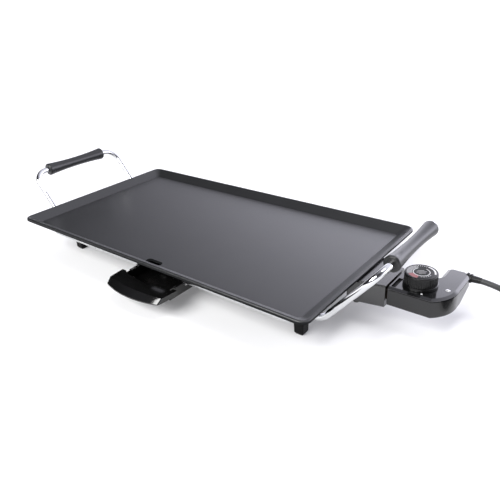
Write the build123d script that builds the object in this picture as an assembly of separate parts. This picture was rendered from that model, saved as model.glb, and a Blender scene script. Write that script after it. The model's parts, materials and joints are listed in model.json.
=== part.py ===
from build123d import *
import math
import os

# An electric table griddle. X runs along its long side, Y from its front to its back, and
# Z up from the table top. All sizes are in millimetres. The pieces are drawn about the middle
# of the cooking plate and moved to the part's own origin at the very end.

# Cooking plate
PLATE_LENGTH = 480.0
PLATE_DEPTH = 266.0
RIM_TOP = 59.0
RIM_HEIGHT = 4.0
RIM_WIDTH = 2.5
RIM_ROUND = 2.1
RIM_RADIUS = 11.0
WALL_RUN = 14.0
DISH_DEPTH = 9.0
PLATE_THICKNESS = 3.5
FLOOR_TOP = RIM_TOP - DISH_DEPTH
FLOOR_BOTTOM = FLOOR_TOP - PLATE_THICKNESS
FLOOR_RADIUS = 5.0
DRAIN_X = 10.5
DRAIN_Y = -113.0
DRAIN_LENGTH = 25.0
DRAIN_WIDTH = 9.0

# Legs and the screws that hold them
LEG_LEFT_X = -193.0
LEG_RIGHT_X = 199.5
LEG_Y = 76.5
LEG_TOP_WIDTH = 13.5
LEG_FOOT_WIDTH = 12.0
PAD_HEIGHT = 2.5
LEG_FLANGE_LENGTH = 38.0
LEG_FLANGE_THICKNESS = 5.0
LEG_BOSS_HEIGHT = 6.0
LEG_SCREW_SPREAD = 13.0
LEG_TOP = FLOOR_BOTTOM - LEG_BOSS_HEIGHT

# Round chromed rod of the handles and rails
ROD_RADIUS = 4.0
ROD_FIT = 0.05
HANDLE_INNER_X = 185.0
HANDLE_LOW_X = 226.0
HANDLE_TOP_X = 286.5
HANDLE_LOW_Z = 28.5
HANDLE_TOP_Z = 100.0
HANDLE_BEND = 20.0
HANDLE_TILT = math.degrees(
    math.atan2(HANDLE_TOP_Z - HANDLE_LOW_Z, HANDLE_TOP_X - HANDLE_LOW_X)
)
WELD_DEPTH = 0.2
RAIL_X = 213.0
RAIL_Y = 107.0
RAIL_END_Y = 50.0
RAIL_Z = HANDLE_LOW_Z + 2 * ROD_RADIUS - WELD_DEPTH
RAIL_BEND = 14.0

# Handle grips
GRIP_LENGTH = 103.0
GRIP_END_RADIUS = 9.4
GRIP_MIDDLE_RADIUS = 7.1
GRIP_SCREW_Y = 45.0
GRIP_SCREW_OFFSET = -6.2

# Heating element and the pieces that hold it
ELEMENT_RADIUS = 3.5
ELEMENT_Z = FLOOR_BOTTOM - ELEMENT_RADIUS - 0.1
ELEMENT_BEND = 22.0
TERMINAL_Z = 39.0
TERMINAL_Y = 5.0
TERMINAL_SPREAD = 10.0
PIN_RADIUS = 2.5
ELEMENT_END_X = 222.0
PIN_END_X = 258.0
PROBE_RADIUS = 2.5
PROBE_TIP_X = 190.0
PROBE_END_X = 280.0
CLAMP_WIDTH = 10.0
SHEET = 1.2

# Drip tray, its front and its two guides
TRAY_X = 8.0
TRAY_HALF_WIDTH = 39.0
TRAY_FLANGE_HALF_WIDTH = 41.5
TRAY_FRONT_Y = -127.0
TRAY_BOW = 5.0
TRAY_BACK_Y = -20.0
TRAY_TOP = 29.0
TRAY_BOTTOM = 14.8
TRAY_WALL = 1.6
FRONT_LIP_Y = -160.0
FRONT_SIDE_Y = -152.0
FRONT_BACK_Y = -123.0
FRONT_TOP_Y = -149.8
FRONT_TOP_SIDE_Y = -146.5
FRONT_HALF_WIDTH = 48.5
FRONT_LIP_HALF_WIDTH = 45.5
FRONT_BOTTOM = 23.0
FRONT_TOP = 29.5
FRONT_LIP_TOP = 24.2
GUIDE_GAP = 0.7
GUIDE_SHEET = 1.5
GUIDE_FRONT_Y = -104.0
GUIDE_BACK_Y = -14.0

# Socket housing at the right-hand end
HOUSING_BACK_X = 228.0
HOUSING_MOUTH_X = 269.4
HOUSING_Y = 5.0
HOUSING_MOUTH_WIDTH = 50.0
HOUSING_BACK_WIDTH = 66.0
HOUSING_BOTTOM = 28.5
HOUSING_TOP = 54.5
CAVITY_BACK_X = 231.5
CAVITY_WIDTH = 38.0
CAVITY_BOTTOM = 30.8
CAVITY_TOP = 46.0

# Thermostat controller
CASE_X = 272.2
CASE_END_X = 336.0
CASE_FRONT_Y = -20.0
CASE_BACK_Y = 30.0
CASE_TAIL_X = 310.3
CASE_TAIL_Y = 58.8
CASE_BOTTOM = 32.2
CASE_TOP = 54.5
CASE_SEAM = 51.3
SEAM_GAP = 0.8
CASE_WALL = 2.2
LID_STEP_LOW = 49.6
BEVEL_HEIGHT = 2.0
BEVEL_WIDTH = 3.2
NOSE_CORNER_X = 319.5
NOSE_END_Y = 12.0
TAIL_RADIUS = 9.5
TAIL_SLOPE_Y = 24.0
TAIL_LIFT = 12.0
DIAL_X = 298.0
DIAL_Y = 4.0
DIAL_RADIUS = 17.5
DIAL_BOTTOM = 55.0
DIAL_TOP = 70.0
SKIRT_TOP = 58.4
SKIRT_RADIUS = 18.4
DIAL_FLUTES = 44
SHAFT_RADIUS = 3.0
SHAFT_SEAT = 36.0
BUTTON_X = 276.3
BUTTON_Y = -5.5
BUTTON_WIDTH = 4.4
BUTTON_SINK = 2.2
BUTTON_LENGTH = 21.0
BUTTON_STOP_LOW = 48.2
LAMP_X = 326.5
LAMP_Y = 7.5

# Mains cord, its coil and its plug
CORD_RADIUS = 3.25
CORD_EXIT_X = 346.8
CORD_EXIT_Y = 54.3
CORD_EXIT_Z = 50.0
RIB_END_X = 338.8
RELIEF_BACK_X = 324.8
TIE_SHEET = 0.8
COIL_X = 434.0
COIL_Y = 15.0
COIL_MEAN_RADIUS = 35.5
COIL_LAYERS = 2
COIL_TURNS_ABREAST = 3
CORD_ROUTE = [
    (CORD_EXIT_X, CORD_EXIT_Y, CORD_EXIT_Z),
    (362.0, 54.6, 48.8),
    (378.0, 55.2, 43.0),
    (393.0, 56.0, 33.0),
    (407.0, 56.8, 20.0),
    (420.0, 57.2, 10.0),
    (435.0, 57.0, 5.5),
]
PLUG_ROUTE = [
    (392.0, 18.0, 10.5),
    (391.4, 34.0, 9.4),
    (392.4, 51.0, 6.0),
    (396.5, 67.0, 3.9),
    (406.0, 80.0, 3.4),
    (418.0, 87.0, 3.6),
    (430.0, 89.0, 6.0),
]
PLUG_TAIL = (428.0, 89.0, 4.7)
PLUG_LENGTH = 48.0
PLUG_RIM_S = 36.0
PLUG_RIM_RADIUS = 18.5
PLUG_TAIL_RADIUS = 5.0
PLUG_TILT = math.degrees(
    math.atan2(PLUG_RIM_RADIUS - PLUG_TAIL_RADIUS, PLUG_RIM_S)
)
BLADE_RADIUS = 2.4
BLADE_LENGTH = 19.0
BLADE_SPREAD = 9.5


def block(x_low, x_high, y_low, y_high, z_low, z_high):
    """A box between two corners."""
    size = (x_high - x_low, y_high - y_low, z_high - z_low)
    middle = ((x_low + x_high) / 2, (y_low + y_high) / 2, (z_low + z_high) / 2)
    return Pos(*middle) * Box(*size)


def upright(x, y, z_low, z_high, radius):
    """A cylinder that stands along Z."""
    return Pos(x, y, (z_low + z_high) / 2) * Cylinder(radius, z_high - z_low)


def lengthwise(x_low, x_high, y, z, radius):
    """A cylinder that lies along X."""
    return Pos((x_low + x_high) / 2, y, z) * Rot(0, 90, 0) * Cylinder(radius, x_high - x_low)


def rod(points, radius, bend):
    """A round bar along straight runs joined by tangent bends."""
    path = FilletPolyline(*points, radius=bend)
    start = Plane(origin=path @ 0, z_dir=path % 0)
    return sweep(start * Circle(radius), path=path)


def screw(x, y, z, head_radius, head_height, shank_radius, shank_length):
    """An upward screw whose head's upper face is at z."""
    head = upright(x, y, z - head_height, z, head_radius)
    shank = upright(x, y, z, z + shank_length, shank_radius)
    slot = block(x - head_radius, x + head_radius, y - 0.4, y + 0.4, z - head_height, z - head_height + 0.7)
    return head + shank - slot


def rounded_plate(inset, radius, z):
    """The plate's outline, drawn in by inset, as a face at height z."""
    outline = RectangleRounded(PLATE_LENGTH - 2 * inset, PLATE_DEPTH - 2 * inset, radius)
    return Pos(0, 0, z) * outline


def leg_places():
    """The middles of the four legs."""
    return [(x, end * LEG_Y) for x in (LEG_LEFT_X, LEG_RIGHT_X) for end in (-1, 1)]


def leg_screw_places():
    """The middles of the eight leg screws, two for each leg."""
    return [(x, y + step) for x, y in leg_places() for step in (-LEG_SCREW_SPREAD, LEG_SCREW_SPREAD)]


def clamp_places():
    """Where a strap crosses the element: x, y, and whether the tube runs along X there."""
    return [(-90.0, -82.0, True), (-90.0, 92.0, True), (-175.0, 5.0 - 57.0, False), (-110.0, 5.0 - 30.0, True),
            (-110.0, 5.0 + 30.0, True), (105.0, -82.0, True), (105.0, 92.0, True)]


def clamp_screw_places():
    """The middles of the strap screws, one beside the tube at each end of a strap."""
    reach = ELEMENT_RADIUS + SHEET + 4.5
    places = []
    for x, y, along_x in clamp_places():
        for side in (-reach, reach):
            places.append((x, y + side) if along_x else (x + side, y))
    return places


def guide_foot_places():
    """The middles of the drip tray guides' feet, where their screws go."""
    reach = TRAY_FLANGE_HALF_WIDTH + GUIDE_GAP + GUIDE_SHEET + 5.0
    return [(TRAY_X + side * reach, y) for side in (-1, 1) for y in (-97.0, -53.0)]


def housing_screw_places():
    """The middles of the two screws that hang the socket housing."""
    return [(217.0, HOUSING_Y - 23.0), (217.0, HOUSING_Y + 23.0)]


def griddle_plate():
    lip = extrude(rounded_plate(0, RIM_RADIUS, RIM_TOP - RIM_HEIGHT), RIM_HEIGHT)
    lip = fillet(lip.edges().group_by(Axis.Z)[-1], RIM_ROUND)
    skirt_top = rounded_plate(1.2, RIM_RADIUS - 1.2, RIM_TOP - RIM_HEIGHT)
    skirt_bottom = rounded_plate(WALL_RUN + 1.0, FLOOR_RADIUS, FLOOR_BOTTOM)
    skirt = loft([skirt_top, skirt_bottom], ruled=True)
    dish_top = rounded_plate(RIM_WIDTH, RIM_RADIUS - RIM_WIDTH, RIM_TOP)
    dish_floor = rounded_plate(RIM_WIDTH + WALL_RUN, FLOOR_RADIUS, FLOOR_TOP)
    dish = loft([dish_top, dish_floor], ruled=True)
    plate = lip + skirt - dish
    for x, y in leg_places():
        half = LEG_TOP_WIDTH / 2
        reach = LEG_FLANGE_LENGTH / 2
        plate += block(x - half, x + half, y - reach, y + reach, LEG_TOP, FLOOR_BOTTOM)
    for x, y in leg_screw_places():
        plate -= upright(x, y, LEG_TOP - 1, LEG_TOP + 7.5, 2.0)
    for x, y in housing_screw_places():
        plate += upright(x, y, FLOOR_BOTTOM - 2.5, FLOOR_BOTTOM, 5.0)
        plate -= upright(x, y, FLOOR_BOTTOM - 3.5, FLOOR_BOTTOM + 2.0, 1.5)
    for x, y in clamp_screw_places() + guide_foot_places():
        plate -= upright(x, y, FLOOR_BOTTOM - 1, FLOOR_BOTTOM + 2.4, 1.5)
    drain = Pos(DRAIN_X, DRAIN_Y, 0) * SlotOverall(DRAIN_LENGTH, DRAIN_WIDTH)
    return plate - extrude(drain, 2 * RIM_TOP)


def heating_element():
    """One tube, bent into three long loops, with both ends at the socket."""
    near = TERMINAL_Y - TERMINAL_SPREAD
    far = TERMINAL_Y + TERMINAL_SPREAD
    ends = [(ELEMENT_END_X, TERMINAL_Z), (208.0, TERMINAL_Z), (196.0, ELEMENT_Z)]
    loops = [(150.0, near), (150.0, -82.0), (-175.0, -82.0), (-175.0, -25.0), (60.0, -25.0),
             (60.0, 35.0), (-175.0, 35.0), (-175.0, 92.0), (150.0, 92.0), (150.0, far)]
    points = [(x, near, z) for x, z in ends]
    points += [(x, y, ELEMENT_Z) for x, y in loops]
    points += [(x, far, z) for x, z in reversed(ends)]
    bends = [8.0, 8.0] + [14.0] + [ELEMENT_BEND] * 8 + [14.0] + [8.0, 8.0]
    return rod(points, ELEMENT_RADIUS, bends)


def terminal_pins():
    pins = Part()
    for side in (-1, 1):
        y = TERMINAL_Y + side * TERMINAL_SPREAD
        pin = lengthwise(ELEMENT_END_X, PIN_END_X, y, TERMINAL_Z, PIN_RADIUS)
        pins += chamfer(pin.edges().group_by(Axis.X)[-1], 0.8)
    return pins


def element_clamps():
    """Bent straps over the tube, each flat on the plate at both ends."""
    inside = ELEMENT_RADIUS + 0.3
    drop = 2 * ELEMENT_RADIUS + 0.5
    straps = Part()
    for x, y, along_x in clamp_places():
        outer = block(-CLAMP_WIDTH / 2, CLAMP_WIDTH / 2, -inside - SHEET, inside + SHEET, -drop - SHEET, 0)
        inner = block(-CLAMP_WIDTH, CLAMP_WIDTH, -inside, inside, -drop, 1)
        reach = inside + SHEET + 8.0
        feet = block(-CLAMP_WIDTH / 2, CLAMP_WIDTH / 2, -reach, reach, -SHEET, 0)
        strap = outer + feet - inner
        for side in (-1, 1):
            strap -= upright(0, side * (ELEMENT_RADIUS + SHEET + 4.5), -5, 5, 1.7)
        turn = 0 if along_x else 90
        straps += Pos(x, y, FLOOR_BOTTOM) * Rot(0, 0, turn) * strap
    return straps


def clamp_screws():
    screws = Part()
    for x, y in clamp_screw_places():
        screws += screw(x, y, FLOOR_BOTTOM - SHEET, 2.7, 1.6, 1.4, SHEET + 2.0)
    return screws


def probe_guide():
    """A short tube under the plate that leads the thermostat's probe, with a bracket that holds it up."""
    tube = lengthwise(186.0, 225.0, TERMINAL_Y, TERMINAL_Z, 4.0)
    web = block(188.0, 203.0, TERMINAL_Y - 1.5, TERMINAL_Y + 1.5, TERMINAL_Z + 2.5, FLOOR_BOTTOM)
    return tube + web - lengthwise(180.0, 230.0, TERMINAL_Y, TERMINAL_Z, PROBE_RADIUS + 0.4)


def housing_profile():
    """The housing's side outline, which stays under the slope of the plate's skirt."""
    return make_face(Polyline(
        (HOUSING_BACK_X, HOUSING_BOTTOM), (HOUSING_MOUTH_X, HOUSING_BOTTOM), (HOUSING_MOUTH_X, HOUSING_TOP),
        (HOUSING_BACK_X + 13.0, HOUSING_TOP), (HOUSING_BACK_X, HOUSING_TOP - 8.3), close=True))


def socket_housing():
    side = extrude(Plane.XZ * housing_profile(), 100, both=True)
    half_back = HOUSING_BACK_WIDTH / 2
    half_mouth = HOUSING_MOUTH_WIDTH / 2
    plan = make_face(Polyline(
        (HOUSING_BACK_X, HOUSING_Y - half_back), (HOUSING_MOUTH_X, HOUSING_Y - half_mouth),
        (HOUSING_MOUTH_X, HOUSING_Y + half_mouth), (HOUSING_BACK_X, HOUSING_Y + half_back), close=True))
    body = side & extrude(plan, 100)
    body = chamfer(body.edges().filter_by(GeomType.LINE).group_by(Axis.Z)[-1].filter_by_position(
        Axis.X, HOUSING_MOUTH_X - 25, HOUSING_MOUTH_X - 5), 1.6)
    half = CAVITY_WIDTH / 2
    body -= block(CAVITY_BACK_X, HOUSING_MOUTH_X + 1, HOUSING_Y - half, HOUSING_Y + half, CAVITY_BOTTOM, CAVITY_TOP)
    for step in (-TERMINAL_SPREAD, 0, TERMINAL_SPREAD):
        body -= lengthwise(HOUSING_BACK_X - 1, CAVITY_BACK_X + 1, TERMINAL_Y + step, TERMINAL_Z, 3.1)
    for x, y in housing_screw_places():
        tab = block(x - 6, HOUSING_BACK_X, y - 6, y + 6, FLOOR_BOTTOM - 5.5, FLOOR_BOTTOM - 2.5)
        body += tab - upright(x, y, 0, RIM_TOP, 1.8)
    return body + upright(234.0, HOUSING_Y - 20.0, HOUSING_BOTTOM - 7.0, HOUSING_BOTTOM, 3.5)


def housing_screws():
    screws = Part()
    for x, y in housing_screw_places():
        screws += screw(x, y, FLOOR_BOTTOM - 5.5, 3.0, 1.8, 1.4, 4.9)
    return screws


def terminal_block():
    """The insulating plate at the back of the socket, which holds both pins."""
    half = CAVITY_WIDTH / 2 - 0.2
    plate = block(CAVITY_BACK_X, CAVITY_BACK_X + 4.0, HOUSING_Y - half, HOUSING_Y + half,
                  CAVITY_BOTTOM + 0.1, CAVITY_TOP - 0.1)
    for side in (-1, 1):
        y = TERMINAL_Y + side * TERMINAL_SPREAD
        plate -= lengthwise(CAVITY_BACK_X - 1, CAVITY_BACK_X + 5, y, TERMINAL_Z, PIN_RADIUS + 0.05)
    return plate - lengthwise(CAVITY_BACK_X - 1, CAVITY_BACK_X + 5, TERMINAL_Y, TERMINAL_Z, PROBE_RADIUS + 0.4)


def rail(end):
    """The long rod below the plate's rim; end is -1 for the front and 1 for the rear."""
    points = [(side * RAIL_X, end * y, RAIL_Z)
              for side, y in ((1, RAIL_END_Y), (1, RAIL_Y), (-1, RAIL_Y), (-1, RAIL_END_Y))]
    return rod(points, ROD_RADIUS, RAIL_BEND)


def handle_rod(side):
    """One bent rod: in under the plate, out and up to the grip, and back."""
    half = [(HANDLE_INNER_X, HANDLE_LOW_Z), (HANDLE_LOW_X, HANDLE_LOW_Z), (HANDLE_TOP_X, HANDLE_TOP_Z)]
    points = [(side * x, -LEG_Y, z) for x, z in half]
    points += [(side * x, LEG_Y, z) for x, z in reversed(half)]
    return rod(points, ROD_RADIUS, HANDLE_BEND)


def grip_whole():
    """The waisted grip about the Y axis, bored for the rod."""
    end = GRIP_LENGTH / 2
    bore = ROD_RADIUS + ROD_FIT
    side = ThreePointArc((GRIP_END_RADIUS, -end), (GRIP_MIDDLE_RADIUS, 0), (GRIP_END_RADIUS, end))
    rest = Polyline((GRIP_END_RADIUS, end), (bore, end), (bore, -end), (GRIP_END_RADIUS, -end))
    profile = make_face(side + rest)
    corners = [v for v in profile.vertices() if v.X > GRIP_END_RADIUS - 0.1]
    return revolve(fillet(corners, 2.4), Axis.Y)


def grip_halves():
    """The inner and the outer half shell, each with its part of the screw holes."""
    whole = grip_whole()
    for y in (-GRIP_SCREW_Y, GRIP_SCREW_Y):
        whole -= Pos(0, y, GRIP_SCREW_OFFSET) * Rot(0, 90, 0) * Cylinder(1.25, 10.0)
        whole -= Pos(8.0, y, GRIP_SCREW_OFFSET) * Rot(0, 90, 0) * Cylinder(1.8, 8.0)
    inner = split(whole, bisect_by=Plane.YZ, keep=Keep.BOTTOM)
    outer = split(whole, bisect_by=Plane.YZ, keep=Keep.TOP)
    return inner, outer


def grip_place(side):
    """Turns a grip's seam into the plane of its handle, and puts it on the rod."""
    place = Pos(HANDLE_TOP_X, 0, HANDLE_TOP_Z) * Rot(0, 90 - HANDLE_TILT, 0)
    return place if side > 0 else Rot(0, 0, 180) * place


def grip_screws():
    screws = Part()
    for side in (-1, 1):
        for y in (-GRIP_SCREW_Y, GRIP_SCREW_Y):
            shank = Pos(-0.2, y, GRIP_SCREW_OFFSET) * Rot(0, 90, 0) * Cylinder(1.15, 8.4)
            head = Pos(4.8, y, GRIP_SCREW_OFFSET) * Rot(0, 90, 0) * Cylinder(1.7, 1.6)
            screws += grip_place(side) * (shank + head)
    return screws


def leg(x, y):
    half_top = LEG_TOP_WIDTH / 2
    flange_bottom = LEG_TOP - LEG_FLANGE_THICKNESS
    column = loft([
        Pos(x, y, flange_bottom) * RectangleRounded(LEG_TOP_WIDTH, LEG_TOP_WIDTH, 1.2),
        Pos(x, y, PAD_HEIGHT) * RectangleRounded(LEG_FOOT_WIDTH, LEG_FOOT_WIDTH, 1.2)], ruled=True)
    reach = LEG_FLANGE_LENGTH / 2
    body = column + block(x - half_top, x + half_top, y - reach, y + reach, flange_bottom, LEG_TOP)
    for step in (-LEG_SCREW_SPREAD, LEG_SCREW_SPREAD):
        body -= upright(x, y + step, flange_bottom - 1, LEG_TOP + 1, 2.15)
    body -= upright(x, y, 0, PAD_HEIGHT + 6.0, 2.3)
    return body - lengthwise(x - 20, x + 20, y, HANDLE_LOW_Z, ROD_RADIUS + ROD_FIT)


def leg_screws():
    screws = Part()
    for x, y in leg_screw_places():
        screws += screw(x, y, LEG_TOP - LEG_FLANGE_THICKNESS, 3.6, 2.2, 1.95, LEG_FLANGE_THICKNESS + 7.0)
    return screws


def foot_pads():
    """Four rubber pads, each with a peg that plugs into its leg."""
    pads = Part()
    for x, y in leg_places():
        sole = loft([
            Pos(x, y, 0) * RectangleRounded(LEG_FOOT_WIDTH - 3.2, LEG_FOOT_WIDTH - 3.2, 1.0),
            Pos(x, y, PAD_HEIGHT) * RectangleRounded(LEG_FOOT_WIDTH, LEG_FOOT_WIDTH, 1.2)], ruled=True)
        pads += sole + upright(x, y, PAD_HEIGHT, PAD_HEIGHT + 5.5, 2.25)
    return pads


def tray_outline(half_width):
    """The tray's plan, with a front edge that bows outwards."""
    bow = ThreePointArc((-half_width, TRAY_FRONT_Y), (0, TRAY_FRONT_Y - TRAY_BOW), (half_width, TRAY_FRONT_Y))
    rest = Polyline((half_width, TRAY_FRONT_Y), (half_width, TRAY_BACK_Y), (-half_width, TRAY_BACK_Y),
                    (-half_width, TRAY_FRONT_Y))
    return Pos(TRAY_X, 0, 0) * make_face(bow + rest)


def tray_hollow():
    """The space inside the drip tray."""
    inside = offset(tray_outline(TRAY_HALF_WIDTH), -TRAY_WALL)
    return extrude(Pos(0, 0, TRAY_BOTTOM + TRAY_WALL) * inside, TRAY_TOP)


def tray_screw_places():
    """Where the tray front is screwed on, as x offsets from the tray's middle."""
    return (-24.0, 24.0)


def drip_tray():
    body = extrude(Pos(0, 0, TRAY_BOTTOM) * tray_outline(TRAY_HALF_WIDTH), TRAY_TOP - TRAY_BOTTOM)
    flange = block(TRAY_X - TRAY_FLANGE_HALF_WIDTH, TRAY_X + TRAY_FLANGE_HALF_WIDTH, TRAY_FRONT_Y + 9, TRAY_BACK_Y,
                   TRAY_TOP - 1.5, TRAY_TOP)
    tray = body + flange - tray_hollow()
    for x in tray_screw_places():
        tray -= Pos(TRAY_X + x, TRAY_FRONT_Y, 25.5) * Rot(90, 0, 0) * Cylinder(1.3, 20)
    return tray


def front_outline(side_y, middle_y, half_width):
    """The tray front's plan at one height, with its bowed front edge and rounded corners."""
    bow = ThreePointArc((-half_width, side_y), (0, middle_y), (half_width, side_y))
    rest = Polyline((half_width, side_y), (FRONT_HALF_WIDTH, FRONT_BACK_Y), (-FRONT_HALF_WIDTH, FRONT_BACK_Y),
                    (-half_width, side_y))
    plan = make_face(bow + rest)
    corners = [v for v in plan.vertices() if v.Y < side_y + 1]
    return fillet(corners, 4.0)


def tray_front():
    """The moulded front that a hand pulls: a flat top, a sloping face and a hollow for the fingers."""
    low = front_outline(FRONT_SIDE_Y, FRONT_LIP_Y, FRONT_LIP_HALF_WIDTH)
    high = front_outline(FRONT_TOP_SIDE_Y, FRONT_TOP_Y, FRONT_LIP_HALF_WIDTH + 1.0)
    body = extrude(Pos(TRAY_X, 0, FRONT_BOTTOM) * low, FRONT_LIP_TOP - FRONT_BOTTOM)
    body += loft([Pos(TRAY_X, 0, FRONT_LIP_TOP) * low, Pos(TRAY_X, 0, FRONT_TOP) * high], ruled=True)
    body -= extrude(Pos(0, 0, TRAY_BOTTOM) * tray_outline(TRAY_FLANGE_HALF_WIDTH + 0.3), RIM_TOP).intersect(
        block(-100, 100, TRAY_FRONT_Y + 0.01, 0, 0, RIM_TOP))
    body -= extrude(tray_outline(TRAY_HALF_WIDTH), RIM_TOP)
    hollow = block(TRAY_X - 40, TRAY_X + 40, -149.0, -137.0, 0, FRONT_TOP - 2.6)
    for x in tray_screw_places():
        hollow -= block(TRAY_X + x - 3, TRAY_X + x + 3, -139.5, -130, 0, RIM_TOP)
        body -= Pos(TRAY_X + x, -133.0, 25.5) * Rot(90, 0, 0) * Cylinder(1.3, 9.0)
    return body - hollow


def tray_screws():
    """Two screws from inside the tray into its front."""
    screws = Part()
    inner_wall_y = TRAY_FRONT_Y - TRAY_BOW + TRAY_WALL + 2.6
    for x in tray_screw_places():
        shank = Pos(TRAY_X + x, inner_wall_y - 4.0, 25.5) * Rot(90, 0, 0) * Cylinder(1.2, 8.0)
        head = Pos(TRAY_X + x, inner_wall_y + 0.7, 25.5) * Rot(90, 0, 0) * Cylinder(2.4, 1.4)
        screws += shank + head
    return screws


def tray_guide(side):
    """A bent channel that the tray's flange slides in, hung from the plate by two feet."""
    inner = TRAY_FLANGE_HALF_WIDTH + GUIDE_GAP
    outer = inner + GUIDE_SHEET
    lip = TRAY_HALF_WIDTH + 0.6
    low = TRAY_TOP - 1.5 - 0.3 - GUIDE_SHEET
    high = TRAY_TOP + 0.4 + GUIDE_SHEET
    channel = block(lip, outer, GUIDE_FRONT_Y, GUIDE_BACK_Y, low, high)
    channel -= block(0, inner, GUIDE_FRONT_Y - 1, GUIDE_BACK_Y + 1, low + GUIDE_SHEET, high - GUIDE_SHEET)
    for _, y in guide_foot_places()[:2]:
        channel += block(inner, outer, y - 6, y + 6, high, FLOOR_BOTTOM)
        foot = block(inner, outer + 10, y - 6, y + 6, FLOOR_BOTTOM - GUIDE_SHEET, FLOOR_BOTTOM)
        channel += foot - upright(outer + 5, y, 0, RIM_TOP, 1.7)
    return Pos(TRAY_X, 0, 0) * (channel if side > 0 else mirror(channel, Plane.YZ))


def guide_screws():
    screws = Part()
    for x, y in guide_foot_places():
        screws += screw(x, y, FLOOR_BOTTOM - GUIDE_SHEET, 2.7, 1.6, 1.4, GUIDE_SHEET + 2.0)
    return screws


def case_outline():
    """The controller's plan: a broad part under the dial with an arched nose, and a narrower tail."""
    nose = TangentArc((CASE_END_X, NOSE_END_Y), (NOSE_CORNER_X, CASE_FRONT_Y), tangent=(0, -1))
    rest = Polyline((NOSE_CORNER_X, CASE_FRONT_Y), (CASE_X, CASE_FRONT_Y), (CASE_X, CASE_BACK_Y),
                    (CASE_TAIL_X, CASE_BACK_Y), (CASE_TAIL_X, CASE_TAIL_Y), (CASE_END_X, CASE_TAIL_Y),
                    (CASE_END_X, NOSE_END_Y))
    plan = make_face(nose + rest)
    corners = [
        (CASE_END_X, CASE_TAIL_Y, TAIL_RADIUS),
        (CASE_TAIL_X, CASE_TAIL_Y, 6.0),
        (CASE_TAIL_X, CASE_BACK_Y, 6.0),
    ]
    for x, y, radius in corners:
        corner = plan.vertices().sort_by_distance((x, y, 0))[0]
        plan = fillet(corner, radius)
    return plan


def tail_wedge(lift):
    """What is cut away below the tail, whose underside rises towards the back."""
    slope = TAIL_LIFT / (CASE_TAIL_Y - TAIL_SLOPE_Y)
    wedge = make_face(Polyline(
        (TAIL_SLOPE_Y, CASE_BOTTOM + lift), (100.0, CASE_BOTTOM + lift + slope * (100.0 - TAIL_SLOPE_Y)),
        (100.0, 0.0), (TAIL_SLOPE_Y, 0.0), close=True))
    return extrude(Plane.YZ * wedge, 400)


def straight_across(edge):
    """True for an edge across the underside, where the flat and the rising part of it meet."""
    return abs(edge.center().Y - TAIL_SLOPE_Y) < 0.1 or edge.center().X < CASE_X + 0.1


def case_screw_places():
    """x, y and the height of the case's underside at each of its screws."""
    slope = TAIL_LIFT / (CASE_TAIL_Y - TAIL_SLOPE_Y)
    places = [(300.0, 23.6), (300.0, -14.0), (324.0, -6.0), (328.0, 44.0)]
    return [(x, y, CASE_BOTTOM + slope * max(0.0, y - TAIL_SLOPE_Y)) for x, y in places]


def relief_hole():
    """The hole for the cord's sleeve, with a wider seat for its first rib in the rounded corner."""
    hole = lengthwise(CASE_TAIL_X + 4, CASE_END_X + 5, CORD_EXIT_Y, CORD_EXIT_Z, 3.4)
    return hole + lengthwise(RIB_END_X - 7.8, CASE_END_X + 5, CORD_EXIT_Y, CORD_EXIT_Z, 5.9)


def controller_base():
    """The deep lower half of the case, with the window for the plug-in nose and the screw posts."""
    plan = case_outline()
    outer = extrude(Pos(0, 0, CASE_BOTTOM) * plan, CASE_SEAM - CASE_BOTTOM) - tail_wedge(0)
    low_edges = [e for e in outer.edges() if e.bounding_box().max.Z < CASE_SEAM - 3 and not straight_across(e)]
    outer = fillet(low_edges, 1.5)
    inner = extrude(Pos(0, 0, CASE_BOTTOM + CASE_WALL) * offset(plan, -CASE_WALL), CASE_SEAM)
    inner -= tail_wedge(CASE_WALL)
    posts = Part()
    for x, y, low in case_screw_places():
        posts += upright(x, y, low + 1.0, LID_STEP_LOW, 3.2)
    base = outer - (inner - posts)
    for x, y, low in case_screw_places():
        base -= upright(x, y, 0, CASE_SEAM + 1, 1.5)
        base -= upright(x, y, 0, low + 2.6, 3.0) & block(x - 3, x + 3, y - 3, y + 3, 0, low + 2.6)
    half = CAVITY_WIDTH / 2 - 2.0
    base -= block(CASE_X - 1, CASE_X + CASE_WALL + 0.5, TERMINAL_Y - half - 0.2, TERMINAL_Y + half + 0.2,
                  CASE_BOTTOM + CASE_WALL, 45.2)
    base -= block(BUTTON_X - BUTTON_WIDTH / 2 - 0.5, BUTTON_X, BUTTON_Y - BUTTON_LENGTH / 2 - 1.3,
                  BUTTON_Y + BUTTON_LENGTH / 2 + 1.3, BUTTON_STOP_LOW - 4.0, CASE_SEAM + 1)
    return base - relief_hole()


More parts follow.
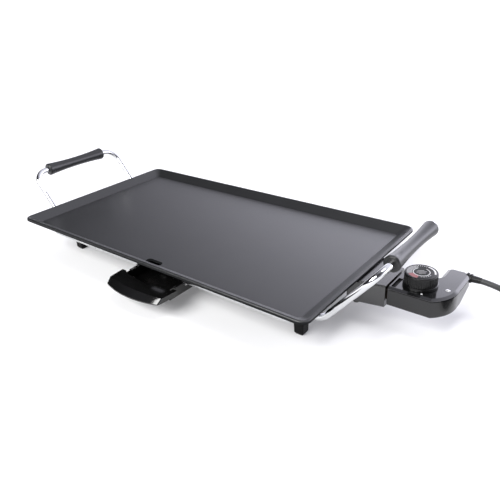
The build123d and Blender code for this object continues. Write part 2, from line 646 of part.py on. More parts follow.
def controller_cover():
    """The bevelled lid, whose lower step drops inside the base and takes the screws."""
    plan = case_outline()
    low = CASE_SEAM + SEAM_GAP
    lid = extrude(Pos(0, 0, low) * plan, CASE_TOP - low)
    top = lid.faces().sort_by(Axis.Z)[-1]
    bevelled = [e for e in top.edges() if e.center().X > CASE_X + 0.1]
    lid = chamfer(bevelled, BEVEL_WIDTH, BEVEL_HEIGHT, reference=top)
    lid += extrude(Pos(0, 0, LID_STEP_LOW) * offset(plan, -CASE_WALL - 0.15), low - LID_STEP_LOW)
    lid -= upright(DIAL_X, DIAL_Y, LID_STEP_LOW - 1, RIM_TOP, SHAFT_RADIUS + 0.3)
    lid -= block(BUTTON_X - BUTTON_WIDTH / 2 - 0.3, BUTTON_X + BUTTON_WIDTH / 2 + 0.3,
                 BUTTON_Y - BUTTON_LENGTH / 2 - 0.3, BUTTON_Y + BUTTON_LENGTH / 2 + 0.3, LID_STEP_LOW - 1, RIM_TOP)
    lid -= upright(LAMP_X, LAMP_Y, LID_STEP_LOW - 1, RIM_TOP, 2.6)
    for x, y, _ in case_screw_places():
        lid -= upright(x, y, LID_STEP_LOW - 1, LID_STEP_LOW + 3.0, 1.25)
    return lid - relief_hole()


def case_screws():
    screws = Part()
    for x, y, low in case_screw_places():
        length = LID_STEP_LOW - low
        screws += screw(x, y, low + 2.6, 2.8, 1.8, 1.2, length)
    return screws


def switch_base():
    """The insulating block of the thermostat, whose nose plugs over the terminal pins."""
    half = CAVITY_WIDTH / 2 - 2.0
    nose = block(240.0, 286.0, TERMINAL_Y - half, TERMINAL_Y + half, CASE_BOTTOM + CASE_WALL + 0.2, 45.0)
    nose = chamfer(nose.edges().group_by(Axis.X)[0], 1.0)
    deck = block(286.0, 312.0, TERMINAL_Y - 9.0, TERMINAL_Y + 9.0, CASE_BOTTOM + CASE_WALL + 0.2, 40.0)
    base = nose + deck
    for side in (-1, 1):
        base -= lengthwise(239.0, 263.0, TERMINAL_Y + side * TERMINAL_SPREAD, TERMINAL_Z, 3.3)
    base -= lengthwise(239.0, PROBE_END_X, TERMINAL_Y, TERMINAL_Z, PROBE_RADIUS + 0.05)
    return base - upright(DIAL_X, DIAL_Y, SHAFT_SEAT, 41.0, SHAFT_RADIUS + 0.05)


def contact_sleeves():
    """Two sprung sleeves in the nose, which grip the terminal pins."""
    sleeves = Part()
    for side in (-1, 1):
        y = TERMINAL_Y + side * TERMINAL_SPREAD
        outer = lengthwise(241.0, 262.5, y, TERMINAL_Z, 3.25)
        sleeves += outer - lengthwise(240.0, 263.0, y, TERMINAL_Z, PIN_RADIUS + 0.06)
    return sleeves


def temperature_probe():
    probe = lengthwise(PROBE_TIP_X, PROBE_END_X - 0.5, TERMINAL_Y, TERMINAL_Z, PROBE_RADIUS)
    return fillet(probe.edges().group_by(Axis.X)[0], 2.0)


def bimetal_arm():
    """The blade that the probe's heat bends, on its own post beside the dial shaft."""
    post = block(288.0, 293.0, TERMINAL_Y + 5.0, TERMINAL_Y + 9.0, 40.0, 44.0)
    blade = block(288.0, 311.0, TERMINAL_Y + 5.0, TERMINAL_Y + 9.0, 44.0, 44.7)
    contact = upright(308.5, TERMINAL_Y + 7.0, 42.6, 44.0, 1.5)
    return post + blade + contact


def dial_shaft():
    shaft = upright(DIAL_X, DIAL_Y, SHAFT_SEAT + 0.2, DIAL_TOP - 4.0, SHAFT_RADIUS)
    flat = block(DIAL_X + 2.0, DIAL_X + 4.0, DIAL_Y - 4, DIAL_Y + 4, DIAL_BOTTOM - 0.3, DIAL_TOP)
    return shaft - flat


def dial_knob():
    """A fluted knob on a plain skirt, with a shallow seat for its printed face and a bore for the shaft."""
    knob = upright(DIAL_X, DIAL_Y, DIAL_BOTTOM, DIAL_TOP, DIAL_RADIUS)
    knob = fillet(knob.edges().group_by(Axis.Z)[-1], 1.2)
    for index in range(DIAL_FLUTES):
        angle = math.radians(index * 360.0 / DIAL_FLUTES)
        x = DIAL_X + (DIAL_RADIUS + 0.3) * math.cos(angle)
        y = DIAL_Y + (DIAL_RADIUS + 0.3) * math.sin(angle)
        knob -= upright(x, y, DIAL_BOTTOM, DIAL_TOP - 2.0, 0.8)
    skirt = upright(DIAL_X, DIAL_Y, DIAL_BOTTOM, SKIRT_TOP, SKIRT_RADIUS)
    knob += chamfer(skirt.edges().group_by(Axis.Z)[-1], 0.5)
    knob -= upright(DIAL_X, DIAL_Y, DIAL_TOP - 0.8, DIAL_TOP + 1, DIAL_RADIUS - 2.0)
    bore = upright(DIAL_X, DIAL_Y, DIAL_BOTTOM - 1, DIAL_TOP - 3.8, SHAFT_RADIUS + 0.05)
    bore -= block(DIAL_X + 2.05, DIAL_X + 4.0, DIAL_Y - 4, DIAL_Y + 4, DIAL_BOTTOM - 1, DIAL_TOP)
    return knob - bore


def dial_face():
    return upright(DIAL_X, DIAL_Y, DIAL_TOP - 0.8, DIAL_TOP - 0.2, DIAL_RADIUS - 2.1)


def release_button():
    half_width = BUTTON_WIDTH / 2
    half_length = BUTTON_LENGTH / 2
    cap = block(BUTTON_X - half_width, BUTTON_X + half_width, BUTTON_Y - half_length, BUTTON_Y + half_length,
                LID_STEP_LOW - 0.8, CASE_TOP - BUTTON_SINK)
    stop = block(BUTTON_X - half_width + 0.2, BUTTON_X + half_width + 1.0, BUTTON_Y - half_length - 1.0,
                 BUTTON_Y + half_length + 1.0, BUTTON_STOP_LOW, LID_STEP_LOW - 0.1)
    return cap + stop


def button_spring():
    """A small compression spring between the switch base and the button."""
    turns = 3
    wire = 0.3
    low = 45.0 + wire
    height = BUTTON_STOP_LOW - wire - low
    path = Pos(BUTTON_X, BUTTON_Y, low) * Helix(pitch=height / turns, height=height, radius=2.0)
    start = Plane(origin=path @ 0, z_dir=path % 0)
    return sweep(start * Circle(wire), path=path, is_frenet=True)


def pilot_lamp():
    return upright(LAMP_X, LAMP_Y, 38.0, CASE_TOP - 2.6, 2.2) + upright(LAMP_X, LAMP_Y, 36.5, 38.0, 2.9)


def pilot_lens():
    rim = upright(LAMP_X, LAMP_Y, CASE_TOP - 2.4, CASE_TOP, 2.5)
    dome = Pos(LAMP_X, LAMP_Y, CASE_TOP - 3.6) * Sphere(4.4)
    return rim + (dome & upright(LAMP_X, LAMP_Y, CASE_TOP, CASE_TOP + 5, 2.5))


def internal_leads():
    """The two insulated wires from the cord to the switch base."""
    start_x = RELIEF_BACK_X - 0.1
    leads = Part()
    for side, run_x, end_y in ((-1, 320.4, 2.0), (1, 317.2, 8.0)):
        y = CORD_EXIT_Y + 1.3 * side
        points = [(start_x, y, CORD_EXIT_Z), (run_x, y, CORD_EXIT_Z), (run_x, y - 2.5, 47.6), (run_x, 38.0, 43.0),
                  (run_x, end_y, 38.0), (312.1, end_y, 38.0)]
        leads += rod(points, 1.0, 1.2)
    return leads


def strain_relief():
    """The moulded sleeve where the cord leaves: a core, two ribs round it and a long taper."""
    body = lengthwise(RELIEF_BACK_X, RIB_END_X - 7.0, CORD_EXIT_Y, CORD_EXIT_Z, 3.3)
    spot = Pos(CORD_EXIT_Y, CORD_EXIT_Z)
    thick_end = Plane.YZ.offset(RIB_END_X - 7.0) * spot * Circle(4.4)
    thin_end = Plane.YZ.offset(CORD_EXIT_X) * spot * Circle(3.5)
    body += loft([thick_end, thin_end])
    for x, radius in ((RIB_END_X - 7.4, 5.6), (RIB_END_X - 3.8, 5.2)):
        body += lengthwise(x, x + 1.9, CORD_EXIT_Y, CORD_EXIT_Z, radius)
    return body


def route_tube(points):
    """A cord's tube: each bend is as wide as its two runs allow. Prints the radii and checks the volume."""
    vectors = [Vector(*p) for p in points]
    radii = []
    for before, here, after in zip(vectors, vectors[1:], vectors[2:]):
        shorter = min((here - before).length, (after - here).length)
        turn = (here - before).get_angle(after - here)
        radii.append(0.45 * shorter / math.tan(math.radians(turn / 2)))
    path = FilletPolyline(*points, radius=radii)
    tube = sweep(Plane(origin=path @ 0, z_dir=path % 0) * Circle(CORD_RADIUS), path=path)
    expected = math.pi * CORD_RADIUS**2 * path.length
    print("bend radii", [round(r) for r in radii], "length", round(path.length, 1),
          "volume ratio", round(tube.volume / expected, 4))
    return tube


def cord_coil():
    """The outer shape of the coil: turns side by side, in layers."""
    half_band = COIL_TURNS_ABREAST * CORD_RADIUS
    low = TIE_SHEET
    high = TIE_SHEET + COIL_LAYERS * 2 * CORD_RADIUS
    ring = upright(COIL_X, COIL_Y, low, high, COIL_MEAN_RADIUS + half_band)
    return ring - upright(COIL_X, COIL_Y, low - 1, high + 1, COIL_MEAN_RADIUS - half_band)


def cord_tie():
    """A flat band round the coil's turns, on the side away from the griddle."""
    half_band = COIL_TURNS_ABREAST * CORD_RADIUS + 0.3
    high = TIE_SHEET + COIL_LAYERS * 2 * CORD_RADIUS
    middle = COIL_X + COIL_MEAN_RADIUS
    outer = block(middle - half_band - TIE_SHEET, middle + half_band + TIE_SHEET, COIL_Y - 5, COIL_Y + 5,
                  0, high + TIE_SHEET)
    return outer - cord_coil() - block(middle - half_band, middle + half_band, COIL_Y - 6, COIL_Y + 6,
                                       TIE_SHEET, high)


def plug_place():
    """Lays the plug on the table on its tail and its rim."""
    return Pos(*PLUG_TAIL) * Rot(0, -PLUG_TILT, 0)


def plug_body():
    """A round moulded plug: a slim tail that swells to the hand-hold and a flat face."""
    outline = make_face(Polyline(
        (0, 0), (0, PLUG_TAIL_RADIUS), (14.0, 6.5), (23.0, 10.5), (30.0, 15.2), (PLUG_RIM_S, PLUG_RIM_RADIUS),
        (PLUG_LENGTH, PLUG_RIM_RADIUS), (PLUG_LENGTH, 0), close=True))
    body = revolve(outline, Axis.X)
    for side in (-1, 1):
        body -= lengthwise(PLUG_LENGTH - 8.0, PLUG_LENGTH + 1.0, side * BLADE_SPREAD, 0, BLADE_RADIUS)
    return plug_place() * body


def plug_pins():
    pins = Part()
    for side in (-1, 1):
        pin = lengthwise(PLUG_LENGTH - 8.0, PLUG_LENGTH + BLADE_LENGTH, side * BLADE_SPREAD, 0, BLADE_RADIUS)
        pins += chamfer(pin.edges().group_by(Axis.X)[-1], 0.9)
    return plug_place() * pins


def all_pieces():
    """Every node's name and its solid or group of solids."""
    inner, outer = grip_halves()
    pieces = {
        "griddle_plate": griddle_plate(),
        "heating_element": heating_element(),
        "terminal_pins": terminal_pins(),
        "element_clamps": element_clamps(),
        "clamp_screws": clamp_screws(),
        "probe_guide": probe_guide(),
        "socket_housing": socket_housing(),
        "housing_screws": housing_screws(),
        "terminal_block": terminal_block(),
        "front_rail": rail(-1),
        "rear_rail": rail(1),
        "left_handle_rod": handle_rod(-1),
        "right_handle_rod": handle_rod(1),
        "grip_screws": grip_screws(),
        "leg_screws": leg_screws(),
        "foot_pads": foot_pads(),
        "drip_tray": drip_tray(),
        "tray_front": tray_front(),
        "tray_screws": tray_screws(),
        "tray_guide_left": tray_guide(-1),
        "tray_guide_right": tray_guide(1),
        "guide_screws": guide_screws(),
        "controller_base": controller_base(),
        "controller_cover": controller_cover(),
        "case_screws": case_screws(),
        "switch_base": switch_base(),
        "contact_sleeves": contact_sleeves(),
        "temperature_probe": temperature_probe(),
        "bimetal_arm": bimetal_arm(),
        "internal_leads": internal_leads(),
        "dial_shaft": dial_shaft(),
        "dial_knob": dial_knob(),
        "dial_face": dial_face(),
        "release_button": release_button(),
        "button_spring": button_spring(),
        "pilot_lamp": pilot_lamp(),
        "pilot_lens": pilot_lens(),
        "strain_relief": strain_relief(),
        "power_cord": route_tube(CORD_ROUTE),
        "plug_lead": route_tube(PLUG_ROUTE),
        "cord_coil": cord_coil(),
        "cord_tie": cord_tie(),
        "plug_body": plug_body(),
        "plug_pins": plug_pins(),
    }
    for side, name in ((-1, "left"), (1, "right")):
        pieces[name + "_grip_inner"] = grip_place(side) * inner
        pieces[name + "_grip_outer"] = grip_place(side) * outer
    for x, y in leg_places():
        name = "leg_" + ("left" if x < 0 else "right") + ("_front" if y < 0 else "_rear")
        pieces[name] = leg(x, y)
    return pieces


CORD_NODES = ("power_cord", "plug_lead", "cord_coil", "cord_tie", "plug_body", "plug_pins")


def origin_shift(pieces):
    """The move that puts the bottom middle of everything but the cord at the origin."""
    boxes = [shape.bounding_box() for name, shape in pieces.items() if name not in CORD_NODES]
    middle_x = (min(b.min.X for b in boxes) + max(b.max.X for b in boxes)) / 2
    middle_y = (min(b.min.Y for b in boxes) + max(b.max.Y for b in boxes)) / 2
    return -middle_x, -middle_y


def main():
    pieces = all_pieces()
    shift_x, shift_y = origin_shift(pieces)
    print("shift", round(shift_x, 4), round(shift_y, 4))
    os.makedirs("parts", exist_ok=True)
    for name, shape in pieces.items():
        export_step(Pos(shift_x, shift_y, 0) * shape, os.path.join("parts", name + ".step"))


main()
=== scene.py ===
import json
import math

import bmesh
import bpy
from mathutils import Euler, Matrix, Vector


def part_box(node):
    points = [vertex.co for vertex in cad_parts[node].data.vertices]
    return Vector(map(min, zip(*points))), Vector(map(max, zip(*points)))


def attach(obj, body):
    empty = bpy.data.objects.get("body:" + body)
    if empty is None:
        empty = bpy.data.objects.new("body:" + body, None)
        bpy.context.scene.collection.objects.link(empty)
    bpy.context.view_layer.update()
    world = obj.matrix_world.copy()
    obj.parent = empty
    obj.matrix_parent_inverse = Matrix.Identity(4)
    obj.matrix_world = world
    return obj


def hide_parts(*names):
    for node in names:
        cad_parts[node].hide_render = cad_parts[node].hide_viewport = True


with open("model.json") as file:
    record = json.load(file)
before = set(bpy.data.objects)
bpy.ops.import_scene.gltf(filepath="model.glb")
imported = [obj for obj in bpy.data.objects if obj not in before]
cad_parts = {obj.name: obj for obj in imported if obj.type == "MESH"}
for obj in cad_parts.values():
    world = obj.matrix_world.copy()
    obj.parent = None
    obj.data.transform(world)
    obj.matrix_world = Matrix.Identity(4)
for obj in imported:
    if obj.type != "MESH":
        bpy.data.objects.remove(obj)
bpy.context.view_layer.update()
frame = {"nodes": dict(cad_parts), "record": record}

# The looks of an electric griddle. All places are in metres, in the frame's own axes: +X along the
# long side towards the controller, +Y towards the back, +Z up from the table top.

MM = 0.001

PLATE_LOW, PLATE_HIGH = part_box("griddle_plate")
PLATE_MIDDLE = Vector(((PLATE_LOW.x + PLATE_HIGH.x) / 2, (PLATE_LOW.y + PLATE_HIGH.y) / 2, 0.0))
RIM_TOP = PLATE_HIGH.z


# ---------------------------------------------------------------- camera

CAMERA_FROM_PLATE = Vector((0.46623, -0.49293, 0.29235))
CAMERA_ANGLES = (63.40, 2.31, 37.61)
CAMERA_LENS = 38.65


def make_camera():
    """The camera, at its place from the middle of the plate's rim."""
    data = bpy.data.cameras.new("camera")
    data.sensor_width = 36.0
    data.lens = CAMERA_LENS
    data.clip_start = 0.01
    data.clip_end = 50.0
    camera = bpy.data.objects.new("camera", data)
    camera.location = PLATE_MIDDLE + Vector((0, 0, RIM_TOP)) + CAMERA_FROM_PLATE
    camera.rotation_euler = Euler([math.radians(a) for a in CAMERA_ANGLES], "XYZ")
    bpy.context.scene.collection.objects.link(camera)
    bpy.context.scene.camera = camera


# ---------------------------------------------------------------- cord

CORD_DIAMETER = 0.0065
EXIT_ROUTE = [
    (346.8, 54.3, 50.0),
    (362.0, 54.6, 48.8),
    (378.0, 55.2, 43.0),
    (393.0, 56.0, 33.0),
    (407.0, 56.8, 20.0),
    (420.0, 57.2, 10.0),
]
PLUG_ROUTE = [
    (391.4, 34.0, 9.4),
    (392.4, 51.0, 6.0),
    (396.5, 67.0, 3.9),
    (406.0, 80.0, 3.4),
    (418.0, 87.0, 3.6),
    (428.0, 89.0, 4.7),
]
COIL_MIDDLE = (434.0, 15.0)
COIL_OUTER = 42.0
COIL_STEP = 6.5
COIL_LOW = 4.05
COIL_TURNS = 5.75
POINTS_PER_TURN = 16


def in_frame(x, y, z):
    """A point given in millimetres from the middle of the plate, in the frame's metres."""
    return PLATE_MIDDLE + Vector((x, y, z)) * MM


def coil_points():
    """The coil's turns: three side by side from the outside in, then three on top from the inside out."""
    points = []
    count = round(COIL_TURNS * POINTS_PER_TURN)
    half = COIL_TURNS / 2
    for index in range(count + 1):
        turn = index / POINTS_PER_TURN
        angle = math.radians(90.0) - 2 * math.pi * turn
        inward = min(turn, COIL_TURNS - turn)
        step = 2.0 * inward / half
        radius = COIL_OUTER - COIL_STEP * step
        rise = min(max((turn - half) / 0.5 + 0.5, 0.0), 1.0)
        height = COIL_LOW + COIL_STEP * rise
        x = COIL_MIDDLE[0] + radius * math.cos(angle)
        y = COIL_MIDDLE[1] + radius * math.sin(angle)
        points.append((x, y, height))
    return points


def make_cord():
    """The mains cord: one smooth spline from the controller, through the coil, to the plug."""
    route = EXIT_ROUTE + coil_points() + PLUG_ROUTE
    data = bpy.data.curves.new("mains_cord", "CURVE")
    data.dimensions = "3D"
    data.bevel_depth = CORD_DIAMETER / 2 / MM
    data.bevel_resolution = 5
    data.resolution_u = 6
    data.use_fill_caps = True
    spline = data.splines.new("NURBS")
    spline.points.add(len(route) - 1)
    for point, place in zip(spline.points, route):
        point.co = (*in_frame(*place), 1.0)
        point.radius = MM
    spline.order_u = 3
    spline.use_endpoint_u = True
    cord = bpy.data.objects.new("mains_cord", data)
    bpy.context.scene.collection.objects.link(cord)
    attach(cord, "controller")
    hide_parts("power_cord", "plug_lead", "cord_coil")
    return cord


# ---------------------------------------------------------------- materials

CLOUD_SCALE = 25.0
COAT_ROUGHNESS = 0.05


def new_material(name):
    """A new node material, with its nodes and links."""
    material = bpy.data.materials.new(name)
    material.use_nodes = True
    return material, material.node_tree.nodes, material.node_tree.links


def noise(nodes, links, scale, detail=3.0, stretch=None):
    """A noise texture in the frame's metres; scale is in waves for each metre."""
    place = nodes.new("ShaderNodeTexCoord")
    texture = nodes.new("ShaderNodeTexNoise")
    texture.inputs["Scale"].default_value = scale
    texture.inputs["Detail"].default_value = detail
    if stretch is None:
        links.new(place.outputs["Object"], texture.inputs["Vector"])
    else:
        mapping = nodes.new("ShaderNodeMapping")
        mapping.inputs["Scale"].default_value = stretch
        links.new(place.outputs["Object"], mapping.inputs["Vector"])
        links.new(mapping.outputs["Vector"], texture.inputs["Vector"])
    return texture.outputs["Fac"]


def ranged(nodes, links, value, low, high, spread=(0.3, 0.7)):
    """Maps a noise value to the range from low to high."""
    mapped = nodes.new("ShaderNodeMapRange")
    mapped.inputs["From Min"].default_value = spread[0]
    mapped.inputs["From Max"].default_value = spread[1]
    mapped.inputs["To Min"].default_value = low
    mapped.inputs["To Max"].default_value = high
    links.new(value, mapped.inputs["Value"])
    return mapped.outputs["Result"]


def times(nodes, links, first, second):
    """The product of two values."""
    product = nodes.new("ShaderNodeMath")
    product.operation = "MULTIPLY"
    links.new(first, product.inputs[0])
    links.new(second, product.inputs[1])
    return product.outputs["Value"]


def shades(nodes, links, value, dark, light):
    """A colour that runs from dark to light as the value runs through its middle range."""
    ramp = nodes.new("ShaderNodeValToRGB")
    ramp.color_ramp.elements[0].position = 0.3
    ramp.color_ramp.elements[1].position = 0.7
    ramp.color_ramp.elements[0].color = (*dark, 1.0)
    ramp.color_ramp.elements[1].color = (*light, 1.0)
    links.new(value, ramp.inputs["Fac"])
    return ramp.outputs["Color"]


def bump(nodes, links, value, depth, strength=1.0):
    """A bump normal from a height value; depth is in metres."""
    node = nodes.new("ShaderNodeBump")
    node.inputs["Strength"].default_value = strength
    node.inputs["Distance"].default_value = depth
    links.new(value, node.inputs["Height"])
    return node.outputs["Normal"]


def surface(name, dark, light, rough, metal=0.0, grain=900.0, depth=0.00002, stretch=None, specular=0.5,
            coat=0.0, sheen=0.0):
    """A material with clouded colour and roughness and a fine grain in its bump."""
    material, nodes, links = new_material(name)
    shader = nodes["Principled BSDF"]
    wide = noise(nodes, links, CLOUD_SCALE, 4.0)
    fine = noise(nodes, links, grain, 2.0, stretch)
    links.new(shades(nodes, links, wide, dark, light), shader.inputs["Base Color"])
    links.new(ranged(nodes, links, fine, rough[0], rough[1]), shader.inputs["Roughness"])
    links.new(bump(nodes, links, fine, depth), shader.inputs["Normal"])
    shader.inputs["Metallic"].default_value = metal
    shader.inputs["Specular IOR Level"].default_value = specular
    shader.inputs["Coat Weight"].default_value = coat
    shader.inputs["Coat Roughness"].default_value = COAT_ROUGHNESS
    shader.inputs["Sheen Weight"].default_value = sheen
    return material


def blacken_underside(material):
    """Painted shade: takes the shine off the faces that look sideways or down, so that the rim's edge stays
    dark as though in shadow.
    """
    nodes = material.node_tree.nodes
    links = material.node_tree.links
    shader = nodes["Principled BSDF"]
    place = nodes.new("ShaderNodeTexCoord")
    axes = nodes.new("ShaderNodeSeparateXYZ")
    links.new(place.outputs["Normal"], axes.inputs["Vector"])
    # painted shade: the shine falls away as a face turns sideways or down
    shine = ranged(nodes, links, axes.outputs["Z"], 0.05, 0.55, (0.1, 0.6))
    links.new(shine, shader.inputs["Specular IOR Level"])


def grey(value, tint=0.0):
    """A neutral colour, a little bluer for a positive tint."""
    return (value * (1 - tint), value, value * (1 + tint))


def make_materials():
    """One material for each of the record's slots, and the dial's inks."""
    return {
        "nonstick": surface(
            "nonstick", grey(0.0075, 0.05), grey(0.0095, 0.05), (0.32, 0.4), grain=1800.0,
            depth=0.000012, specular=0.55
        ),
        "element": surface(
            "element", (0.05, 0.042, 0.037), (0.1, 0.09, 0.082), (0.5, 0.7), metal=0.7, grain=500.0
        ),
        "steel": surface("steel", grey(0.5), grey(0.62), (0.22, 0.36), metal=1.0, grain=1500.0),
        "dark_steel": surface("dark_steel", grey(0.01), grey(0.015), (0.4, 0.5), metal=0.5),
        "sheet_steel": surface(
            "sheet_steel", grey(0.45), grey(0.55), (0.28, 0.42), metal=1.0, grain=700.0,
            stretch=(0.08, 1.0, 1.0)
        ),
        "housing_plastic": surface(
            "housing_plastic", grey(0.006, 0.03), grey(0.008, 0.03), (0.16, 0.24), specular=0.9,
            depth=0.000006
        ),
        "insulator": surface("insulator", (0.05, 0.035, 0.026), (0.075, 0.055, 0.04), (0.5, 0.65)),
        "chrome": surface(
            "chrome", grey(0.56, 0.01), grey(0.62, 0.01), (0.04, 0.09), metal=1.0, grain=600.0,
            depth=0.000003
        ),
        "grip_plastic": surface(
            "grip_plastic", grey(0.008, 0.05), grey(0.011, 0.05), (0.3, 0.4), grain=1400.0,
            depth=0.00001, specular=0.38
        ),
        "leg_plastic": surface(
            "leg_plastic", grey(0.003), grey(0.004), (0.35, 0.45), grain=1400.0, depth=0.00001,
            specular=0.1
        ),
        "foot_rubber": surface(
            "foot_rubber", grey(0.008), grey(0.012), (0.6, 0.75), depth=0.00003, specular=0.3
        ),
        "tray_plastic": surface(
            "tray_plastic", grey(0.003), grey(0.004), (0.12, 0.2), grain=800.0, depth=0.000004
        ),
        "tray_gloss": surface(
            "tray_gloss", grey(0.003), grey(0.004), (0.1, 0.17), grain=800.0, depth=0.000004,
            specular=0.7
        ),
        "case_plastic": surface(
            "case_plastic", grey(0.004, 0.03), grey(0.006, 0.03), (0.16, 0.24), grain=1500.0,
            depth=0.00001, specular=0.38, coat=0.25
        ),
        "case_gloss": surface(
            "case_gloss", grey(0.005, 0.03), grey(0.007, 0.03), (0.08, 0.13), grain=1100.0,
            depth=0.000003, specular=1.0
        ),
        "brass": surface("brass", (0.62, 0.45, 0.2), (0.75, 0.58, 0.28), (0.2, 0.34), metal=1.0),
        "probe_steel": surface(
            "probe_steel", grey(0.6), grey(0.7), (0.16, 0.26), metal=1.0, grain=900.0
        ),
        "lead_sleeve": surface(
            "lead_sleeve", grey(0.09), grey(0.15), (0.6, 0.8), grain=2500.0, depth=0.0001
        ),
        "knob": surface(
            "knob", grey(0.003), grey(0.004), (0.18, 0.26), grain=1300.0, depth=0.000005,
            specular=0.3
        ),
        "button_plastic": surface("button_plastic", grey(0.002), grey(0.003), (0.5, 0.6), specular=0.15),
        "relief_rubber": surface("relief_rubber", grey(0.003), grey(0.004), (0.4, 0.5), specular=0.3),
        "print_white": surface(
            "print_white", grey(0.62), grey(0.72), (0.35, 0.45), grain=1500.0, depth=0.000002
        ),
        "print_silver": surface(
            "print_silver", grey(0.27), grey(0.34), (0.3, 0.4), grain=1500.0, depth=0.000002,
            specular=0.25
        ),
        "print_red": surface(
            "print_red", (0.27, 0.09, 0.09), (0.34, 0.12, 0.12), (0.35, 0.45), grain=1500.0,
            depth=0.000002, specular=0.25
        ),
        "print_black": surface(
            "print_black", grey(0.003), grey(0.005), (0.3, 0.4), grain=1500.0, depth=0.000002
        ),
        "dial_print": surface(
            "dial_print", grey(0.003), grey(0.005), (0.3, 0.4), grain=1500.0, depth=0.000004,
            specular=0.2
        ),
        "lamp_glass": surface("lamp_glass", (0.7, 0.32, 0.22), (0.8, 0.4, 0.3), (0.1, 0.2)),
        "lens": surface("lens", grey(0.3), grey(0.38), (0.05, 0.1), coat=1.0),
        "cord_rubber": surface(
            "cord_rubber", grey(0.014, 0.04), grey(0.018, 0.04), (0.4, 0.5), grain=1600.0,
            depth=0.00001, sheen=0.1
        ),
        "tie": surface(
            "tie", grey(0.012), grey(0.02), (0.75, 0.9), grain=2200.0, depth=0.0002, sheen=0.3
        ),
        "plug_rubber": surface("plug_rubber", grey(0.012), grey(0.016), (0.42, 0.52), depth=0.00001),
    }


def dress_nodes(materials):
    """Gives every CAD node the material of its slot. The knob has a duller finish than the case's lid."""
    for entry in frame["record"]["subparts"]:
        node = frame["nodes"][entry["node"]]
        finish = "knob" if entry["node"] == "dial_knob" else entry["material_slot"]
        node.data.materials.clear()
        node.data.materials.append(materials[finish])


# ---------------------------------------------------------------- printed marks

PRINT_THICKNESS = 0.0001
CAMERA_TURN = 37.6
NUMBER_RADIUS = 12.4
NUMBER_SIZE = 3.6
BAR_HALF_WIDTH = 0.55
BAR_ROWS = ((2.6, 3.6), (0.0, 5.4), (-2.6, 3.6))
BOX_FACES = ((0, 3, 2, 1), (4, 5, 6, 7), (0, 1, 5, 4), (1, 2, 6, 5), (2, 3, 7, 6), (3, 0, 4, 7))


def add_mesh(name, verts, faces, material):
    """A mesh object with its faces turned outwards."""
    mesh = bpy.data.meshes.new(name)
    mesh.from_pydata(verts, [], faces)
    work = bmesh.new()
    work.from_mesh(mesh)
    bmesh.ops.recalc_face_normals(work, faces=work.faces)
    work.to_mesh(mesh)
    work.free()
    piece = bpy.data.objects.new(name, mesh)
    piece.data.materials.append(material)
    bpy.context.scene.collection.objects.link(piece)
    return piece


def arc_strip(middle, inner, outer, start, end, verts, faces):
    """Adds a flat closed strip that follows an arc, from start to end in degrees, seen from above."""
    steps = max(2, round((end - start) / 4.0))
    base = len(verts)
    corners = ((inner, 0.0), (outer, 0.0), (outer, PRINT_THICKNESS), (inner, PRINT_THICKNESS))
    for index in range(steps + 1):
        angle = math.radians(start + (end - start) * index / steps)
        across = Vector((math.cos(angle), math.sin(angle), 0.0))
        for radius, height in corners:
            verts.append(middle + across * radius + Vector((0.0, 0.0, height)))
    for index in range(steps):
        first = base + 4 * index
        for side in range(4):
            following = (side + 1) % 4
            faces.append((first + side, first + following, first + 4 + following, first + 4 + side))
    last = base + 4 * steps
    faces.append((base, base + 1, base + 2, base + 3))
    faces.append((last + 3, last + 2, last + 1, last))


def print_arcs(name, arcs, material):
    """One printed colour on the dial: arcs are (inner mm, outer mm, start, end), turned to face the user."""
    low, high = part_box("dial_face")
    middle = Vector(((low.x + high.x) / 2, (low.y + high.y) / 2, high.z - PRINT_THICKNESS / 2))
    verts, faces = [], []
    for inner, outer, start, end in arcs:
        arc_strip(middle, inner * MM, outer * MM, start + CAMERA_TURN, end + CAMERA_TURN, verts, faces)
    piece = add_mesh(name, verts, faces, material)
    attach(piece, "dial")


def text_mesh(words, size, depth):
    """A mesh of flat raised text, centred on its own origin."""
    data = bpy.data.curves.new("lettering", "FONT")
    data.body = words
    data.size = size
    data.extrude = depth
    data.align_x = "CENTER"
    data.align_y = "CENTER"
    lettering = bpy.data.objects.new("lettering", data)
    bpy.context.scene.collection.objects.link(lettering)
    shown = lettering.evaluated_get(bpy.context.evaluated_depsgraph_get())
    mesh = bpy.data.meshes.new_from_object(shown)
    bpy.data.objects.remove(lettering)
    return mesh


def print_numbers(material):
    """Small numbers from 1 to 5 along the light part of the dial's ring."""
    low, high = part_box("dial_face")
    reach = NUMBER_RADIUS * MM
    for number in range(1, 6):
        angle = math.radians(182.0 - 16.5 * number + CAMERA_TURN)
        mesh = text_mesh(str(number), NUMBER_SIZE * MM, PRINT_THICKNESS)
        text = bpy.data.objects.new(f"dial_number_{number}", mesh)
        text.location = ((low.x + high.x) / 2 + reach * math.cos(angle),
                         (low.y + high.y) / 2 + reach * math.sin(angle), high.z)
        text.rotation_euler = (0.0, 0.0, angle - math.pi / 2)
        text.data.materials.clear()
        text.data.materials.append(material)
        bpy.context.scene.collection.objects.link(text)
        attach(text, "dial")


def make_dial_print(materials):
    """The dial's printed ring: a light part with numbers, a red part, a white scale arc and an inner ring."""
    print_arcs("dial_silver", [(9.8, 15.0, 92.0, 183.0)], materials["print_silver"])
    print_arcs("dial_red", [(9.2, 14.6, 186.0, 236.0)], materials["print_red"])
    rings = [(8.2, 9.0, 100.0, 400.0), (13.2, 15.0, -28.0, 44.0)]
    rings += [(10.4, 11.2, 250.0 + 14.0 * index, 256.0 + 14.0 * index) for index in range(5)]
    rings += [(13.0, 15.0, 50.0 + 9.0 * index, 52.5 + 9.0 * index) for index in range(5)]
    print_arcs("dial_white", rings, materials["print_white"])
    print_numbers(materials["print_black"])


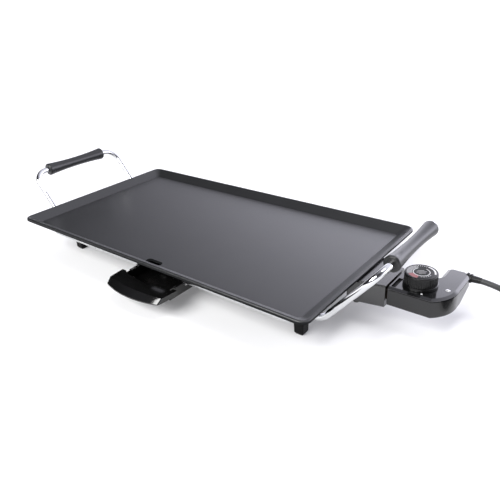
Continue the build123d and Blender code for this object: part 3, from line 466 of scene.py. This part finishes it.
def make_centre_marks(materials):
    """Three plain bars on the middle of the dial, which keep level towards the user."""
    low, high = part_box("dial_face")
    middle = Vector(((low.x + high.x) / 2, (low.y + high.y) / 2, high.z - PRINT_THICKNESS / 2))
    turn = math.radians(CAMERA_TURN)
    right = Vector((math.cos(turn), math.sin(turn), 0.0))
    away = Vector((-math.sin(turn), math.cos(turn), 0.0))
    up = Vector((0.0, 0.0, PRINT_THICKNESS))
    verts, faces = [], []
    for row, reach in BAR_ROWS:
        base = len(verts)
        for lift in (Vector(), up):
            for across, along in ((-1, -1), (1, -1), (1, 1), (-1, 1)):
                sideways = right * (across * reach * MM)
                forwards = away * ((row + along * BAR_HALF_WIDTH) * MM)
                verts.append(middle + sideways + forwards + lift)
        faces += [tuple(base + corner for corner in face) for face in BOX_FACES]
    piece = add_mesh("dial_bars", verts, faces, materials["print_silver"])
    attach(piece, "dial")


def make_index_mark(materials):
    """The short white line on the case that the dial's scale is read against."""
    low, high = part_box("dial_face")
    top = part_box("controller_cover")[1].z
    middle = Vector(((low.x + high.x) / 2, (low.y + high.y) / 2, top - PRINT_THICKNESS / 2))
    verts, faces = [], []
    arc_strip(middle, 18.9 * MM, 21.2 * MM, -67.0, -62.0, verts, faces)
    piece = add_mesh("index_mark", verts, faces, materials["print_white"])
    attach(piece, "controller")


# ---------------------------------------------------------------- floor, light

WORLD_LEFT = 0.12
WORLD_RIGHT = 5.5
WORLD_FRONT = 0.06
WORLD_TOP = 0.25
WORLD_TINT = (0.965, 0.96, 1.085, 1.0)
# painted light: the floor's own glow near the object and far from it
FLOOR_GLOW = 0.15
FLOOR_SHADE = 0.72
FLOOR_SIZE = 40.0
FLOOR_FAR_GLOW = 1.1
FLOOR_FADE = (0.55, 1.6)
SKY_SEEN = 1.5


def make_floor():
    """A plain white floor, much larger than the object, that glows more away from it: painted light that
    lifts the shadows near the object and turns the floor white further out.
    """
    material, nodes, links = new_material("floor")
    shader = nodes["Principled BSDF"]
    shader.inputs["Base Color"].default_value = (FLOOR_SHADE, FLOOR_SHADE, FLOOR_SHADE, 1.0)
    shader.inputs["Roughness"].default_value = 0.9
    shader.inputs["Specular IOR Level"].default_value = 0.0
    shader.inputs["Emission Color"].default_value = (1.0, 1.0, 1.0, 1.0)
    place = nodes.new("ShaderNodeTexCoord")
    reach = nodes.new("ShaderNodeVectorMath")
    reach.operation = "LENGTH"
    links.new(place.outputs["Object"], reach.inputs[0])
    # painted light: the floor's glow, weak near the object and strong far from it
    glow = ranged(nodes, links, reach.outputs["Value"], FLOOR_GLOW, FLOOR_FAR_GLOW, FLOOR_FADE)
    links.new(glow, shader.inputs["Emission Strength"])
    bpy.ops.mesh.primitive_plane_add(size=FLOOR_SIZE, location=(0, 0, 0))
    floor = bpy.context.object
    floor.name = "floor"
    floor.data.materials.append(material)


def make_world():
    """A bright studio: lightest behind and to the right, dimmer in front, dark to the left."""
    world = bpy.data.worlds.new("studio")
    bpy.context.scene.world = world
    world.use_nodes = True
    nodes = world.node_tree.nodes
    links = world.node_tree.links
    background = nodes["Background"]
    place = nodes.new("ShaderNodeTexCoord")
    axes = nodes.new("ShaderNodeSeparateXYZ")
    links.new(place.outputs["Generated"], axes.inputs["Vector"])
    from_left = ranged(nodes, links, axes.outputs["X"], WORLD_LEFT, WORLD_RIGHT, (-0.9, -0.15))
    from_front = ranged(nodes, links, axes.outputs["Y"], WORLD_FRONT, 1.0, (-0.55, 0.6))
    from_low = ranged(nodes, links, axes.outputs["Z"], 1.0, WORLD_TOP, (0.28, 0.56))
    for mapped in (from_left, from_front, from_low):
        mapped.node.interpolation_type = "SMOOTHSTEP"
    level = times(nodes, links, times(nodes, links, from_left, from_front), from_low)
    path = nodes.new("ShaderNodeLightPath")
    seen = nodes.new("ShaderNodeMix")
    seen.data_type = "FLOAT"
    links.new(path.outputs["Is Camera Ray"], seen.inputs["Factor"])
    links.new(level, seen.inputs["A"])
    seen.inputs["B"].default_value = SKY_SEEN
    links.new(seen.outputs["Result"], background.inputs["Strength"])
    background.inputs["Color"].default_value = WORLD_TINT


def add_softbox(name, place, target, size, power):
    """A square soft light aimed at a point."""
    data = bpy.data.lights.new(name, "AREA")
    data.shape = "RECTANGLE"
    data.size = size[0]
    data.size_y = size[1]
    data.energy = power
    light = bpy.data.objects.new(name, data)
    light.location = place
    light.rotation_euler = (Vector(target) - Vector(place)).to_track_quat("-Z", "Y").to_euler()
    bpy.context.scene.collection.objects.link(light)


make_camera()
make_cord()
materials = make_materials()
# painted shade on the nonstick faces that look sideways or down
blacken_underside(materials["nonstick"])
bpy.data.objects["mains_cord"].data.materials.append(materials["cord_rubber"])
dress_nodes(materials)
make_dial_print(materials)
make_centre_marks(materials)
make_index_mark(materials)
make_floor()
make_world()
add_softbox("overhead", (0.42, 0.0, 1.5), (0.25, 0.0, 0.0), (0.5, 0.35), 7.0)
add_softbox("front", (-0.25, -1.4, 1.15), (0.0, 0.0, 0.0), (1.4, 0.8), 50.0)
bpy.context.scene.view_settings.view_transform = "Standard"
